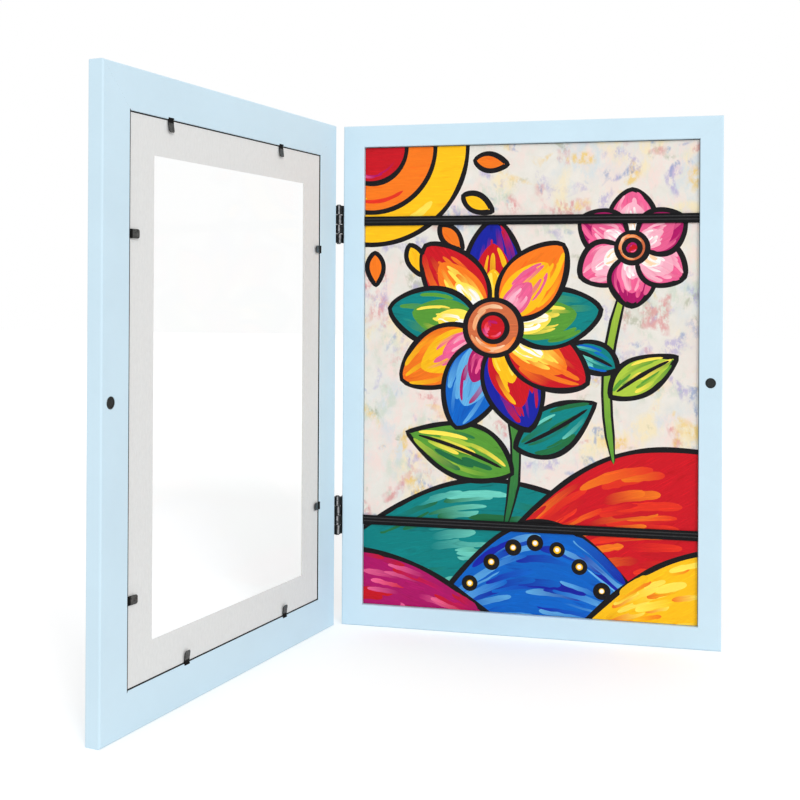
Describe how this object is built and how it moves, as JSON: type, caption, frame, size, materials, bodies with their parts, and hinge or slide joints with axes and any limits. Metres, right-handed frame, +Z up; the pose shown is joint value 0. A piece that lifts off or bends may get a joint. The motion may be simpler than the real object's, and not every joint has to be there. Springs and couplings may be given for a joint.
{
  "type": "hinged art frame",
  "caption": "Front-opening frame for children's drawings: a blue tray with elastic bands and a glazed, matted door hinged on its left side, standing open.",
  "frame": {"origin": "middle of the tray's bottom face, which stands on the table or floor", "axes": "+Z up along the stiles, -Y out of the tray's open side, +X towards the latch side, +Y to the wall"},
  "size_m": [0.3007, 0.2589, 0.3256],
  "materials": {
    "blue_paint": "satin paint over wood, softened edges",
    "clear_glazing": "clear, polished",
    "mat_board": "matt grey-white board",
    "tab_steel": "dark, lightly polished",
    "black_metal": "glossy black",
    "magnet_metal": "dark, satin",
    "elastic": "black woven elastic with lengthwise ribs",
    "paper": "plain paper edges",
    "painted_paper": "painted paper with brush strokes",
    "fibre_board": "raw brown fibre board",
    "bright_steel": "plain zinc-plated"
  },
  "bodies": {
    "box": {"artwork_sheet": "painted_paper", "back_board": "fibre_board", "back_board_brad_1": "bright_steel", "back_board_brad_2": "bright_steel", "back_board_brad_3": "bright_steel", "back_board_brad_4": "bright_steel", "back_board_brad_5": "bright_steel", "back_board_brad_6": "bright_steel", "box_bottom_rail": "blue_paint", "box_corner_nail_1": "bright_steel", "box_corner_nail_2": "bright_steel", "box_corner_nail_3": "bright_steel", "box_corner_nail_4": "bright_steel", "box_hinge_stile": "blue_paint", "box_latch_stile": "blue_paint", "box_leaf_lower": "black_metal", "box_leaf_upper": "black_metal", "box_magnet": "magnet_metal", "box_screw_1": "black_metal", "box_screw_2": "black_metal", "box_screw_3": "black_metal", "box_screw_4": "black_metal", "box_top_rail": "blue_paint", "elastic_band_lower": "elastic", "elastic_band_upper": "elastic", "hanger_landscape": "bright_steel", "hanger_nail_1": "bright_steel", "hanger_nail_2": "bright_steel", "hanger_nail_3": "bright_steel", "hanger_nail_4": "bright_steel", "hanger_portrait": "bright_steel", "hinge_pin_lower": "black_metal", "hinge_pin_upper": "black_metal", "paper_stack": "paper"},
    "door": {"door_bottom_rail": "blue_paint", "door_corner_nail_1": "bright_steel", "door_corner_nail_2": "bright_steel", "door_corner_nail_3": "bright_steel", "door_corner_nail_4": "bright_steel", "door_glazing": "clear_glazing", "door_hinge_stile": "blue_paint", "door_latch_stile": "blue_paint", "door_leaf_lower": "black_metal", "door_leaf_upper": "black_metal", "door_magnet": "magnet_metal", "door_mat": "mat_board", "door_screw_1": "black_metal", "door_screw_2": "black_metal", "door_screw_3": "black_metal", "door_screw_4": "black_metal", "door_top_rail": "blue_paint"},
    "tab_bottom_1": {"tab_bottom_1": "tab_steel"},
    "tab_bottom_2": {"tab_bottom_2": "tab_steel"},
    "tab_hinge_side_1": {"tab_hinge_side_1": "tab_steel"},
    "tab_hinge_side_2": {"tab_hinge_side_2": "tab_steel"},
    "tab_latch_side_1": {"tab_latch_side_1": "tab_steel"},
    "tab_latch_side_2": {"tab_latch_side_2": "tab_steel"},
    "tab_top_1": {"tab_top_1": "tab_steel"},
    "tab_top_2": {"tab_top_2": "tab_steel"}
  },
  "joints": [
    {"name": "door_hinge", "type": "hinge", "parent": "box", "child": "door", "pos_m": [-0.1223, -0.0103, 0], "axis": [0, 0, -1], "range_deg": [-102, 78]},
    {"name": "tab_bottom_1_bend", "type": "hinge", "parent": "door", "child": "tab_bottom_1", "pos_m": [-0.137, -0.0761, 0.0215], "axis": [0.2079, 0.9781, 0], "range_deg": [-5, 85]},
    {"name": "tab_bottom_2_bend", "type": "hinge", "parent": "door", "child": "tab_bottom_2", "pos_m": [-0.15833, -0.17646, 0.0215], "axis": [0.2079, 0.9781, 0], "range_deg": [-5, 85]},
    {"name": "tab_hinge_side_1_bend", "type": "hinge", "parent": "door", "child": "tab_hinge_side_1", "pos_m": [-0.12808, -0.03412, 0.0814], "axis": [0, 0, 1], "range_deg": [-5, 85]},
    {"name": "tab_hinge_side_2_bend", "type": "hinge", "parent": "door", "child": "tab_hinge_side_2", "pos_m": [-0.12808, -0.03412, 0.2442], "axis": [0, 0, 1], "range_deg": [-5, 85]},
    {"name": "tab_latch_side_1_bend", "type": "hinge", "parent": "door", "child": "tab_latch_side_1", "pos_m": [-0.16875, -0.22544, 0.06512], "axis": [0, 0, -1], "range_deg": [-5, 85]},
    {"name": "tab_latch_side_2_bend", "type": "hinge", "parent": "door", "child": "tab_latch_side_2", "pos_m": [-0.16875, -0.22544, 0.2442], "axis": [0, 0, -1], "range_deg": [-5, 85]},
    {"name": "tab_top_1_bend", "type": "hinge", "parent": "door", "child": "tab_top_1", "pos_m": [-0.13849, -0.0831, 0.3041], "axis": [-0.2079, -0.9781, 0], "range_deg": [-5, 85]},
    {"name": "tab_top_2_bend", "type": "hinge", "parent": "door", "child": "tab_top_2", "pos_m": [-0.16181, -0.1928, 0.3041], "axis": [-0.2079, -0.9781, 0], "range_deg": [-5, 85]}
  ]
}
